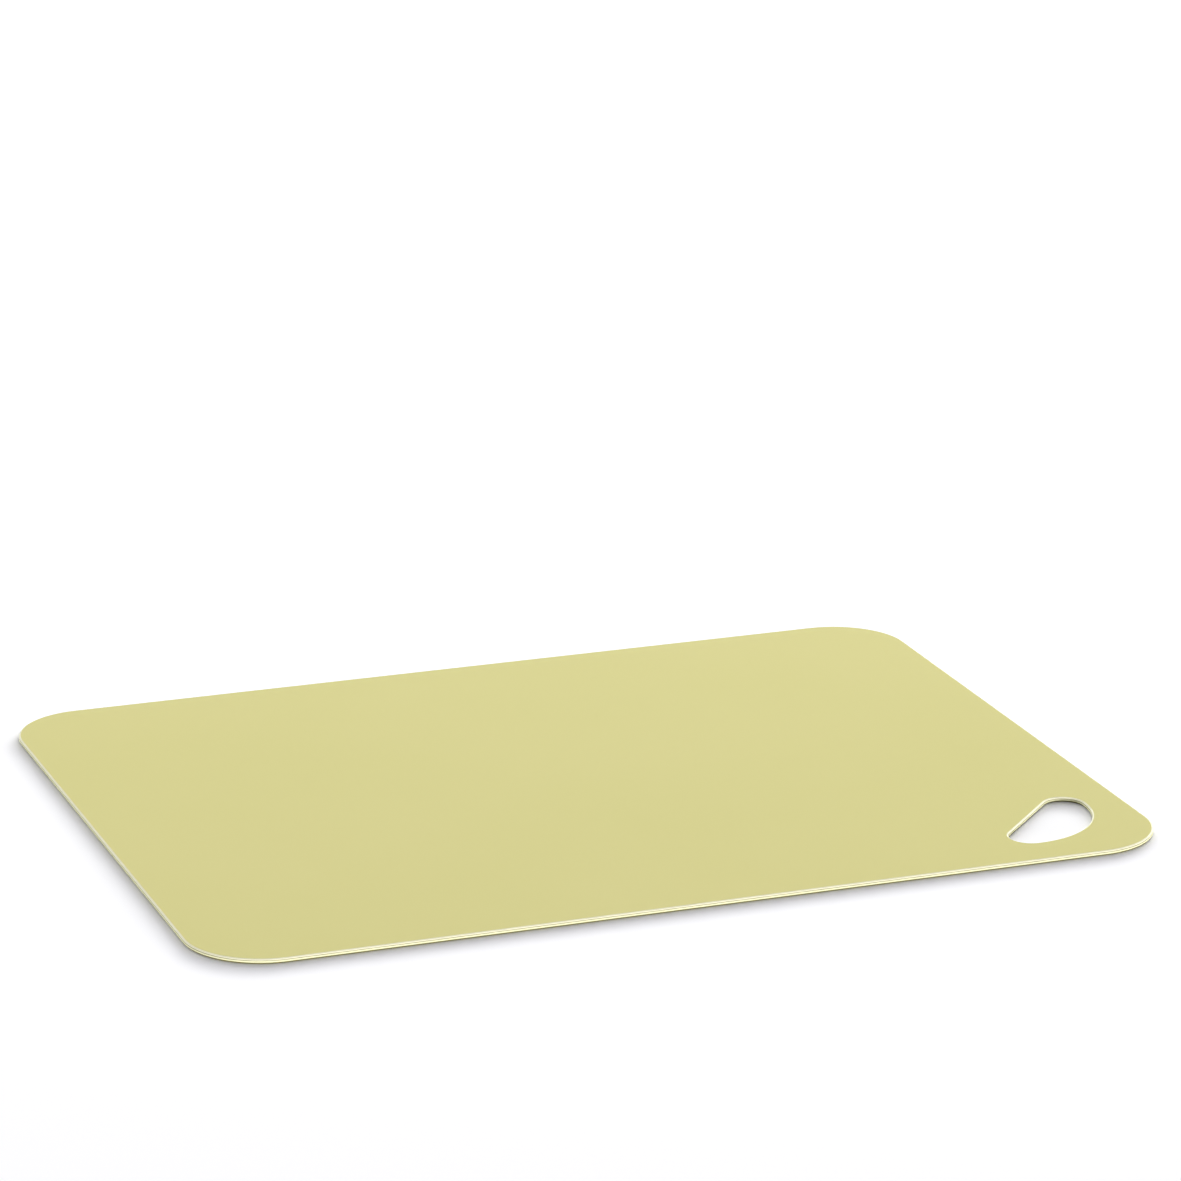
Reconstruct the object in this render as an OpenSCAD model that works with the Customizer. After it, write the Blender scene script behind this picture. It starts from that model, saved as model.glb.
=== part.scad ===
// Flexible kitchen cutting mat: one thin sheet of matt plastic with rounded corners and
// softened edges, and a D-shaped grip opening cut across its front right corner. The mat
// lies flat, with the origin under its middle, its length along X and its front at -Y.

/* [Sheet] */
// Length of the mat, left to right
mat_l = 380; // [300:1:480]
// Width of the mat, front to back
mat_w = 290; // [220:1:380]
// Thickness of the sheet
mat_t = 2; // [1:0.1:3]
// Radius of the four corners, seen from above
corner_r = 30; // [10:1:45]
// Radius that softens the upper and lower rim of every edge
rim_r = 0.8; // [0.1:0.05:1]

/* [Grip opening] */
// Length of the opening along its straight side, end to end
grip_l = 54; // [45:0.5:75]
// Depth of the opening, from its straight side to the crown of its bow
grip_d = 24; // [20:0.5:32]
// Radius of the two rounded ends
grip_end_r = 8; // [6:0.1:10]
// Angle between the straight side and the front edge of the mat
grip_turn = 45; // [35:1:55]
// Distance from the right edge of the mat to the middle of the opening
grip_from_right = 34.3; // [33:0.1:60]
// Distance from the front edge of the mat to the middle of the opening
grip_from_front = 35.7; // [33:0.1:60]

/* [Hidden] */
$fn = 96;
mat_colour = [0.85, 0.83, 0.58];
// The rounds of the two rims leave a narrow wall between them
edge_r = min(rim_r, mat_t * 0.45);
// The end rounds of the opening leave room for the bow between them
end_r = min(grip_end_r, grip_d * 0.45);
// Half the distance between the centres of the two end rounds
end_x = grip_l / 2 - end_r;
// Radius of the bow that runs smoothly into both end rounds
bow_r = (end_x^2 + grip_d^2 - 2 * end_r * grip_d) / (2 * (grip_d - 2 * end_r));
// Height of the bow's centre over the straight side, negative when it lies outside
bow_y = grip_d - bow_r;
// Direction, seen from the bow's centre, in which the bow meets the right-hand end round
bow_start = asin((end_r - bow_y) / (bow_r - end_r));
// Width of the strip that carries the bow's wall, which reaches past the end rounds' centres
bow_band = 1.5 * end_r;
// How far the cut of the opening runs past both faces of the sheet
past = 1;
// Step that sets each end round apart from its neighbours, so that no two walls just touch
step = 0.02;

// Cross-section of the sheet from x = inner to an edge at x = outer, both rims rounded
module edge_section(inner, outer) {
    translate([inner, 0])
        square([outer - edge_r - inner, mat_t]);
    translate([outer - 2 * edge_r, edge_r])
        square([2 * edge_r, mat_t - 2 * edge_r]);
    for (z = [edge_r, mat_t - edge_r])
        translate([outer - edge_r, z])
            circle(edge_r);
}

// Quarter disc that forms one corner of the sheet, round the origin
module corner() {
    rotate_extrude(angle = 90)
        edge_section(0, corner_r);
}

// Straight strip along an edge, which runs from the origin along +X and faces +Y
module side(length) {
    rotate([90, 0, 90])
        linear_extrude(length)
            edge_section(0, corner_r);
}

// The whole sheet before the opening is cut: a flat field, four sides and four corners
module sheet() {
    x = mat_l / 2 - corner_r;
    y = mat_w / 2 - corner_r;
    translate([-x, -y, 0])
        cube([2 * x, 2 * y, mat_t]);
    for (half = [0, 180])
        rotate([0, 0, half]) {
            translate([x, y, 0])
                corner();
            translate([-x, y, 0]) {
                side(2 * x);
                rotate([0, 0, 90])
                    corner();
            }
            translate([x, y, 0])
                rotate([0, 0, -90])
                    side(2 * y);
        }
}

// Cross-section of the air in the opening, from x = inner to a wall at x = outer.
// It widens round the wall's rounded rims and runs past both faces.
module air_section(inner, outer) {
    difference() {
        translate([inner, -past])
            square([outer + edge_r - inner, mat_t + 2 * past]);
        translate([2 * outer, 0])
            mirror([1, 0])
                edge_section(outer - 2 * edge_r, outer);
    }
}

// Air at the right-hand end round, from the straight side to the start of the bow
module grip_end() {
    translate([end_x, end_r, 0])
        rotate([0, 0, -90])
            rotate_extrude(angle = 90 + bow_start)
                air_section(0, end_r + step);
}

// Air along the bow, between the two end rounds
module grip_bow() {
    translate([0, bow_y, 0])
        rotate([0, 0, bow_start])
            rotate_extrude(angle = 180 - 2 * bow_start)
                air_section(bow_r - bow_band, bow_r);
}

// Air along the straight side, as deep as the end rounds' centres
module grip_straight() {
    translate([end_x, end_r, 0])
        rotate([90, 0, -90])
            linear_extrude(2 * end_x)
                air_section(0, end_r);
}

// Air in the middle, between the straight strip and the strip along the bow
module grip_middle() {
    translate([0, 0, -past])
        linear_extrude(mat_t + 2 * past)
            intersection() {
                translate([0, bow_y])
                    circle(bow_r - end_r);
                translate([-grip_l, end_r])
                    square([2 * grip_l, grip_d]);
            }
}

// The D-shaped opening, its straight side along X through the origin and its bow at +Y
module grip_opening() {
    for (side_x = [0, 1])
        mirror([side_x, 0, 0])
            grip_end();
    grip_bow();
    grip_straight();
    grip_middle();
}

// The mat: the opening's bow faces the front right corner
module cutting_mat() {
    color(mat_colour)
        difference() {
            sheet();
            translate([mat_l / 2 - grip_from_right, grip_from_front - mat_w / 2, 0])
                rotate([0, 0, grip_turn - 180])
                    translate([0, -grip_d / 2, 0])
                        grip_opening();
        }
}

cutting_mat();
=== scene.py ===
import math

import bmesh
import bpy
from mathutils import Matrix, Vector


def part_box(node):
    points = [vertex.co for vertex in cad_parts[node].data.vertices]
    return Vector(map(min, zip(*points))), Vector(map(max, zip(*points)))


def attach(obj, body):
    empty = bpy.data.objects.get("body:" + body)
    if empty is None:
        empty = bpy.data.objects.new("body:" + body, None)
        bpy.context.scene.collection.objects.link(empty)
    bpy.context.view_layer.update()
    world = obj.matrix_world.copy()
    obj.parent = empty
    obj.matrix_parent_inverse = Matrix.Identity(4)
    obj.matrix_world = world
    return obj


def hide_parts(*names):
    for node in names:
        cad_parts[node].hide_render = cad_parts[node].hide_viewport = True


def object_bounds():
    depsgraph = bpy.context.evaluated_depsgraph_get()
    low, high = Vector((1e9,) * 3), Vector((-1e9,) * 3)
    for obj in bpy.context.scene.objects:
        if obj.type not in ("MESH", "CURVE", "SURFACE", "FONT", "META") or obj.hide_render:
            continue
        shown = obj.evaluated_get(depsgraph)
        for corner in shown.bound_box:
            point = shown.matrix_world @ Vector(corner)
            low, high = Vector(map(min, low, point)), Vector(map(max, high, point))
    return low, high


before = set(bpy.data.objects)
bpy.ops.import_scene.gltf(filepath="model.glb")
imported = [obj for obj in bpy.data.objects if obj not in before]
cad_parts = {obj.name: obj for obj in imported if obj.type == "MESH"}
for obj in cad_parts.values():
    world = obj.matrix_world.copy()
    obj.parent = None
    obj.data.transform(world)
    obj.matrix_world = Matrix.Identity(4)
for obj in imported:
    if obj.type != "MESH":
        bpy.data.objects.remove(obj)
cadLow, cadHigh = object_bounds()
mm = 0.001
quarterTurn = math.pi / 2

# camera: measured on the mat's outline, aimed behind the mat at the height of its upper face
cameraSetup = {
    "azimuth": -20.40,       # degrees, 0 looks along +Y
    "elevation": 17.37,
    "roll": 0.156,
    "distance": 2.2615,
    "aim": (0.09125, 0.22565),
    "lens": 159.43,
    "sensor": 36,
    "nearest": 0.05,
    "farthest": 60,
}


def placeCamera(setup, faceHeight):
    azimuth, elevation = math.radians(setup["azimuth"]), math.radians(setup["elevation"])
    back = Vector((
        math.sin(azimuth) * math.cos(elevation),
        -math.cos(azimuth) * math.cos(elevation),
        math.sin(elevation),
    ))
    right = (-back).cross(Vector((0, 0, 1))).normalized()
    up = right.cross(-back)
    turn = Matrix.Rotation(math.radians(setup["roll"]), 4, "Z")
    data = bpy.data.cameras.new("photoCamera")
    data.lens = setup["lens"]
    data.sensor_width = setup["sensor"]
    data.clip_start, data.clip_end = setup["nearest"], setup["farthest"]
    camera = bpy.data.objects.new("photoCamera", data)
    axes = Matrix((right, up, back)).transposed().to_4x4()
    aim = Vector((*setup["aim"], faceHeight))
    camera.matrix_world = Matrix.Translation(aim + back * setup["distance"]) @ axes @ turn
    bpy.context.scene.collection.objects.link(camera)
    bpy.context.scene.camera = camera


print("camera")
placeCamera(cameraSetup, cadHigh.z)

# the sheet's own sizes; its length, width and thickness come from the frame
sheetShape = {
    "cornerRadius": 30 * mm,
    "rimRadius": 0.8 * mm,
    "rimSteps": 6,           # steps down each rounded rim
    "cornerSteps": 40,       # steps round each corner
    "sideStep": 12 * mm,     # spacing of the points along the straight edges
}
# the D-shaped opening: a straight side, two end rounds and a bow that faces the front right corner
gripShape = {
    "length": 54 * mm,
    "depth": 24 * mm,
    "endRadius": 8 * mm,
    "turn": 45,              # degrees between the straight side and the front edge
    "fromRight": 34.3 * mm,
    "fromFront": 35.7 * mm,
    "endSteps": 32,
    "bowSteps": 48,
    "sideStep": 3 * mm,
}


def arcPoints(centre, radius, start, sweep, steps):
    # points round an arc, each with its outward direction
    found = []
    for k in range(steps + 1):
        angle = start + sweep * k / steps
        way = Vector((math.cos(angle), math.sin(angle)))
        found.append((Vector(centre) + way * radius, way))
    return found


def straightPoints(start, end, outward, spacing):
    # the points between two ends, which the arcs beside them already hold
    count = max(1, round((end - start).length / spacing))
    return [(start.lerp(end, k / count), outward.copy()) for k in range(1, count)]


def sheetOutline(shape, low, high):
    radius = shape["cornerRadius"]
    left, right = low.x + radius, high.x - radius
    front, rear = low.y + radius, high.y - radius
    corners = [(right, rear), (left, rear), (left, front), (right, front)]
    outline = []
    for k, centre in enumerate(corners):
        arc = arcPoints(centre, radius, k * quarterTurn, quarterTurn, shape["cornerSteps"])
        lastPoint, outward = arc[-1]
        nextPoint = Vector(corners[(k + 1) % 4]) + outward * radius
        outline += arc + straightPoints(lastPoint, nextPoint, outward, shape["sideStep"])
    return outline


def gripOutline(shape, low, high):
    # drawn with the straight side along X, then turned and set in its corner
    depth, endRadius, endSteps = shape["depth"], shape["endRadius"], shape["endSteps"]
    endX = shape["length"] / 2 - endRadius
    bowRadius = (endX**2 + depth**2 - 2 * endRadius * depth) / (2 * (depth - 2 * endRadius))
    bowY = depth - bowRadius
    bowStart = math.asin((endRadius - bowY) / (bowRadius - endRadius))
    endSweep = quarterTurn + bowStart
    bowSweep = math.pi - 2 * bowStart
    outline = arcPoints((endX, endRadius), endRadius, -quarterTurn, endSweep, endSteps)
    outline += arcPoints((0, bowY), bowRadius, bowStart, bowSweep, shape["bowSteps"])[1:]
    outline += arcPoints((-endX, endRadius), endRadius, math.pi - bowStart, endSweep, endSteps)[1:]
    outline += straightPoints(Vector((-endX, 0)), Vector((endX, 0)), Vector((0, -1)), shape["sideStep"])
    middle = Vector((high.x - shape["fromRight"], low.y + shape["fromFront"]))
    turn = Matrix.Rotation(math.radians(shape["turn"]) - math.pi, 2)
    return [(middle + turn @ (point - Vector((0, depth / 2))), turn @ way) for point, way in outline]


def rimProfile(shape, thickness):
    # inset and height of each ring from the upper face to the underside, and its normal's two parts
    radius, steps = shape["rimRadius"], shape["rimSteps"]
    upper = []
    for k in range(steps + 1):
        lean = quarterTurn * k / steps
        out, rise = math.sin(lean), math.cos(lean)
        upper.append((radius * (1 - out), thickness - radius * (1 - rise), out, rise))
    lower = [(inset, thickness - height, out, -rise) for inset, height, out, rise in reversed(upper)]
    return upper + lower


def addWall(mesh, normals, outline, profile, floorHeight, side):
    # rings of points down one edge, joined by quads; side is 1 round the sheet and -1 in the opening
    rings = []
    for inset, height, out, rise in profile:
        ring = []
        for point, way in outline:
            spot = point - way * inset * side
            ring.append(mesh.verts.new((spot.x, spot.y, floorHeight + height)))
            normals.append(Vector((way.x * out * side, way.y * out * side, rise)).normalized())
        rings.append(ring)
    count = len(outline)
    for upper, lower in zip(rings, rings[1:]):
        for k in range(count):
            n = (k + 1) % count
            corners = (upper[k], lower[k], lower[n], upper[n])
            mesh.faces.new(corners if side > 0 else corners[::-1])
    return rings[0], rings[-1]


def closeFace(mesh, loops, up):
    # one flat face between the sheet's border and the opening's; up is 1 on top and -1 underneath
    edges = [mesh.edges.get((a, b)) for loop in loops for a, b in zip(loop, loop[1:] + loop[:1])]
    filled = bmesh.ops.triangle_fill(mesh, edges=edges, use_beauty=True, normal=(0, 0, up))
    for face in (part for part in filled["geom"] if isinstance(part, bmesh.types.BMFace)):
        if face.normal.z * up < 0:
            face.normal_flip()


def buildSheet(low, high):
    profile = rimProfile(sheetShape, high.z - low.z)
    outer, opening = sheetOutline(sheetShape, low, high), gripOutline(gripShape, low, high)
    mesh = bmesh.new()
    normals = []
    outerTop, outerBottom = addWall(mesh, normals, outer, profile, low.z, 1)
    openingTop, openingBottom = addWall(mesh, normals, opening, profile, low.z, -1)
    mesh.verts.index_update()
    closeFace(mesh, (outerTop, openingTop), 1)
    closeFace(mesh, (outerBottom, openingBottom), -1)
    data = bpy.data.meshes.new("matSheet")
    mesh.to_mesh(data)
    mesh.free()
    data.shade_smooth()
    data.normals_split_custom_set_from_vertices(normals)
    sheet = bpy.data.objects.new("matSheet", data)
    bpy.context.scene.collection.objects.link(sheet)
    return sheet


print("sheet")
matSheet = buildSheet(*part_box("cutting_mat"))


def linear(red, green, blue):
    # a colour given as 0 to 255, in the renderer's own scale
    return [((c / 255 + 0.055) / 1.055) ** 2.4 for c in (red, green, blue)] + [1]


def newGroup(name, inputs, outputs):
    # a node group whose inputs and outputs are all plain numbers
    group = bpy.data.node_groups.new(name, "ShaderNodeTree")
    for label, value in inputs.items():
        socket = group.interface.new_socket(label, in_out="INPUT", socket_type="NodeSocketFloat")
        socket.default_value = value
    for label in outputs:
        group.interface.new_socket(label, in_out="OUTPUT", socket_type="NodeSocketFloat")
    return group, group.nodes.new("NodeGroupInput"), group.nodes.new("NodeGroupOutput")


def addNode(tree, kind, **settings):
    node = tree.nodes.new(kind)
    for name, value in settings.items():
        setattr(node, name, value)
    return node


def calculate(tree, operation, first, second):
    node = addNode(tree, "ShaderNodeMath", operation=operation)
    for socket, value in zip(node.inputs, (first, second)):
        if isinstance(value, (int, float)):
            socket.default_value = value
        else:
            tree.links.new(value, socket)
    return node.outputs[0]


def mixColours(tree, amount, first, second):
    node = addNode(tree, "ShaderNodeMix", data_type="RGBA")
    for name, value in (("Factor_Float", amount), ("A_Color", first), ("B_Color", second)):
        socket = next(s for s in node.inputs if s.identifier == name)
        if isinstance(value, list):
            socket.default_value = value
        else:
            tree.links.new(value, socket)
    return next(s for s in node.outputs if s.identifier == "Result_Color")


def addNoise(group, place, scale, look):
    noise = addNode(group, "ShaderNodeTexNoise", noise_dimensions="3D")
    noise.inputs["Detail"].default_value = look["detail"]
    noise.inputs["Roughness"].default_value = look["roughness"]
    group.links.new(place, noise.inputs["Vector"])
    group.links.new(scale, noise.inputs["Scale"])
    return noise.outputs["Fac"]


# the moulded grain and the drawn streaks in it
grainLook = {"detail": 4, "roughness": 0.6}
streakLook = {
    "detail": 3,
    "roughness": 0.5,
    "stretch": (0.06, 1, 1),     # the streaks run along the mat's length
}
maskShare = 0.74             # brings the highest spots of grain and streaks together to about 1


def buildGrainGroup():
    # fine moulded grain with faint drawn streaks: height for bump, and a mask of its high spots
    inputs = {"Grain Scale": 1400, "Streak Scale": 300, "Streaks": 0.35}
    group, start, end = newGroup("mouldedGrain", inputs, ("Height", "Mask"))
    place = addNode(group, "ShaderNodeTexCoord").outputs["Object"]
    stretch = addNode(group, "ShaderNodeVectorMath", operation="MULTIPLY")
    stretch.inputs[1].default_value = streakLook["stretch"]
    group.links.new(place, stretch.inputs[0])
    grain = addNoise(group, place, start.outputs["Grain Scale"], grainLook)
    streak = addNoise(group, stretch.outputs[0], start.outputs["Streak Scale"], streakLook)
    weighted = calculate(group, "MULTIPLY", streak, start.outputs["Streaks"])
    height = calculate(group, "ADD", grain, weighted)
    group.links.new(height, end.inputs["Height"])
    group.links.new(calculate(group, "MULTIPLY", height, maskShare), end.inputs["Mask"])
    return group


cloudLook = {"detail": 3, "roughness": 0.5}


def buildCloudGroup():
    # broad, very faint clouds in the plastic's colour
    group, start, end = newGroup("colourClouds", {"Scale": 9}, ("Mask",))
    place = addNode(group, "ShaderNodeTexCoord").outputs["Object"]
    group.links.new(addNoise(group, place, start.outputs["Scale"], cloudLook), end.inputs["Mask"])
    return group


# bands round every edge, which carry painted highlight, painted light and painted shade, told apart by
# the upward part of the surface's normal:
# 1 on the face, 0 on an upright wall and -1 underneath
edgeLean = {
    "Rim Start": 0.9995,
    "Rim Full": 0.985,
    "Rim Fade": 0.46,
    "Rim End": 0.26,
    "Wall Start": 0.14,
    "Wall Full": 0.03,
    "Under Start": -0.02,
    "Under Full": -0.25,
    "Under Fade": -0.9,
    "Under End": -0.999,
}


def buildEdgeGroup(lean):
    # masks of the upper rim's painted highlight, the painted shade line below it, the painted light on
    # the wall and the painted shade on the lower rim
    group, start, end = newGroup("edgeBands", lean, ("PaintedHighlightRim", "PaintedShadeLine", "PaintedLightWall", "PaintedShadeUnder"))
    place = addNode(group, "ShaderNodeTexCoord")
    parts = addNode(group, "ShaderNodeSeparateXYZ")
    group.links.new(place.outputs["Normal"], parts.inputs[0])

    def below(first, last):
        step = addNode(group, "ShaderNodeMapRange", interpolation_type="SMOOTHSTEP")
        group.links.new(parts.outputs["Z"], step.inputs["Value"])
        group.links.new(start.outputs[first], step.inputs["From Min"])
        group.links.new(start.outputs[last], step.inputs["From Max"])
        return step.outputs["Result"]

    pastRim = below("Rim Fade", "Rim End")
    wall = below("Wall Start", "Wall Full")
    under = below("Under Start", "Under Full")
    bands = {
        "PaintedHighlightRim": (below("Rim Start", "Rim Full"), pastRim),
        "PaintedShadeLine": (pastRim, wall),
        "PaintedLightWall": (wall, under),
        "PaintedShadeUnder": (under, below("Under Fade", "Under End")),
    }
    for name, (entered, left) in bands.items():
        group.links.new(calculate(group, "SUBTRACT", entered, left), end.inputs[name])
    return group


# finish of the sheet: pale yellow-green, matt, with a painted highlight on the upper rims, a painted
# shade line below it, painted light on the walls and painted shade on the lower rims
sheetFinish = {
    "colour": linear(216, 210, 141),
    "cloudColour": linear(212, 207, 135),
    # painted highlight on the upper rim
    "PaintedHighlightRimColour": linear(255, 253, 212),
    # painted shade: a darker line just below the rim highlight
    "PaintedShadeLineColour": linear(160, 155, 100),
    # painted light on the upright wall, paler and brighter than the body
    "PaintedLightWallColour": linear(255, 254, 200),
    # painted shade on the lower rim, where the sheet meets the floor
    "PaintedShadeUnderColour": linear(125, 121, 66),
    "cloudScale": 9,
    "grainScale": 1400,
    "streakScale": 300,
    "streaks": 0.35,
    "roughness": 0.5,
    "roughnessSpread": 0.08,
    "edgeGloss": 0.22,       # roughness of the polish on the upper rims
    "grainDepth": 0.04 * mm,
    "grainStrength": 0.25,
    "sheen": 0.2,
}


def buildSheetMaterial(finish):
    material = bpy.data.materials.new("mattMatPlastic")
    material.use_nodes = True
    tree = material.node_tree
    shader = tree.nodes["Principled BSDF"]
    grain = addNode(tree, "ShaderNodeGroup", node_tree=buildGrainGroup())
    grain.inputs["Grain Scale"].default_value = finish["grainScale"]
    grain.inputs["Streak Scale"].default_value = finish["streakScale"]
    grain.inputs["Streaks"].default_value = finish["streaks"]
    clouds = addNode(tree, "ShaderNodeGroup", node_tree=buildCloudGroup())
    clouds.inputs["Scale"].default_value = finish["cloudScale"]
    edge = addNode(tree, "ShaderNodeGroup", node_tree=buildEdgeGroup(edgeLean))
    body = mixColours(tree, clouds.outputs["Mask"], finish["colour"], finish["cloudColour"])
    # lays the painted highlight, shade line, lit wall and lower-rim shade over the body colour
    for band in ("PaintedHighlightRim", "PaintedShadeLine", "PaintedLightWall", "PaintedShadeUnder"):
        body = mixColours(tree, edge.outputs[band], body, finish[band + "Colour"])
    tree.links.new(body, shader.inputs["Base Color"])
    rough = calculate(tree, "MULTIPLY", grain.outputs["Mask"], finish["roughnessSpread"])
    rough = calculate(tree, "ADD", rough, finish["roughness"])
    tree.links.new(rough, shader.inputs["Roughness"])
    tree.links.new(edge.outputs["PaintedHighlightRim"], shader.inputs["Coat Weight"])
    shader.inputs["Coat Roughness"].default_value = finish["edgeGloss"]
    shader.inputs["Specular IOR Level"].default_value = finish["sheen"]
    bump = addNode(tree, "ShaderNodeBump")
    bump.inputs["Strength"].default_value = finish["grainStrength"]
    bump.inputs["Distance"].default_value = finish["grainDepth"]
    tree.links.new(grain.outputs["Height"], bump.inputs["Height"])
    tree.links.new(bump.outputs["Normal"], shader.inputs["Normal"])
    return material


print("material")
matSheet.data.materials.append(buildSheetMaterial(sheetFinish))
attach(matSheet, "root")
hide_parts("cutting_mat")

# studio: a white floor, an even surround, soft panels low behind the mat and weak low fills
studio = {
    "floorSize": 60,
    "floorColour": 1.0,      # as the camera sees it
    "floorBounce": 0.4,      # as the light that bounces off it sees it
    "floorLift": 0.108,      # glow for the camera alone, so that the bare floor shows as white
    "surround": 0.19,
    "surroundTint": (0.93, 0.92, 1),
    "panelWidth": 6,
    "panelDistance": 8,
    # each panel: degrees clockwise from straight behind, lower and upper edge in metres, watts
    "panels": {
        "lowBack": (30, 0.91, 1.48, 860),
        "middleBack": (32, 1.48, 2.00, 380),
        "highBack": (32, 2.00, 2.75, 255),
        "topBack": (32, 2.75, 6.70, 315),
        "leftBack": (-15, 1.12, 5.60, 290),
        "rightBack": (70, 0.98, 5.00, 165),
    },
    # the same for the cool fills, which light the near edges and the opening's wall
    "fills": {
        "front": (165, 0.14, 0.49, 520),
        "left": (255, 0.14, 0.49, 340),
        "opening": (150, 0.70, 0.87, 200),
    },
    "fillTint": (0.88, 0.87, 1),
}


def grey(level):
    return [level] * 3 + [1]


def seenByEye(tree):
    # 1 for what the camera sees directly, in a gloss or through something clear
    path = addNode(tree, "ShaderNodeLightPath")
    seen = calculate(tree, "ADD", path.outputs["Is Camera Ray"], path.outputs["Is Glossy Ray"])
    return calculate(tree, "ADD", seen, path.outputs["Is Transmission Ray"])


def buildFloor(setup, height):
    half = setup["floorSize"] / 2
    corners = [(x * half, y * half, height) for x, y in ((-1, -1), (1, -1), (1, 1), (-1, 1))]
    data = bpy.data.meshes.new("floor")
    data.from_pydata(corners, [], [(0, 1, 2, 3)])
    floor = bpy.data.objects.new("floor", data)
    bpy.context.scene.collection.objects.link(floor)
    material = bpy.data.materials.new("whiteFloor")
    material.use_nodes = True
    tree = material.node_tree
    shader = tree.nodes["Principled BSDF"]
    shader.inputs["Roughness"].default_value = 1
    shader.inputs["Specular IOR Level"].default_value = 0
    shader.inputs["Emission Color"].default_value = grey(1)
    seen = seenByEye(tree)
    tone = mixColours(tree, seen, grey(setup["floorBounce"]), grey(setup["floorColour"]))
    lift = calculate(tree, "MULTIPLY", seen, setup["floorLift"])
    tree.links.new(tone, shader.inputs["Base Color"])
    tree.links.new(lift, shader.inputs["Emission Strength"])
    data.materials.append(material)


def buildSurround(setup):
    world = bpy.data.worlds.new("studioSurround")
    bpy.context.scene.world = world
    world.use_nodes = True
    tree = world.node_tree
    dim = [setup["surround"] * part for part in setup["surroundTint"]] + [1]
    sky = mixColours(tree, seenByEye(tree), dim, grey(1))
    tree.links.new(sky, tree.nodes["Background"].inputs["Color"])


def addPanel(name, azimuth, low, high, power, setup):
    # an upright soft panel that lights the mat at a low angle
    light = bpy.data.lights.new(name, "AREA")
    light.shape = "RECTANGLE"
    light.size, light.size_y = setup["panelWidth"], high - low
    light.energy = power
    panel = bpy.data.objects.new(name, light)
    turned = math.radians(azimuth)
    away = Vector((math.sin(turned), math.cos(turned), 0))
    panel.location = away * setup["panelDistance"] + Vector((0, 0, (low + high) / 2))
    panel.rotation_euler = (-away).to_track_quat("-Z", "Y").to_euler()
    panel.visible_glossy = False
    bpy.context.scene.collection.objects.link(panel)
    return light


print("studio")
buildFloor(studio, cadLow.z)
buildSurround(studio)
for panelName, panelFacts in studio["panels"].items():
    addPanel(panelName + "Panel", *panelFacts, studio)
for fillName, fillFacts in studio["fills"].items():
    addPanel(fillName + "Fill", *fillFacts, studio).color = studio["fillTint"]

bpy.context.scene.view_settings.view_transform = "Standard"

print("finished")
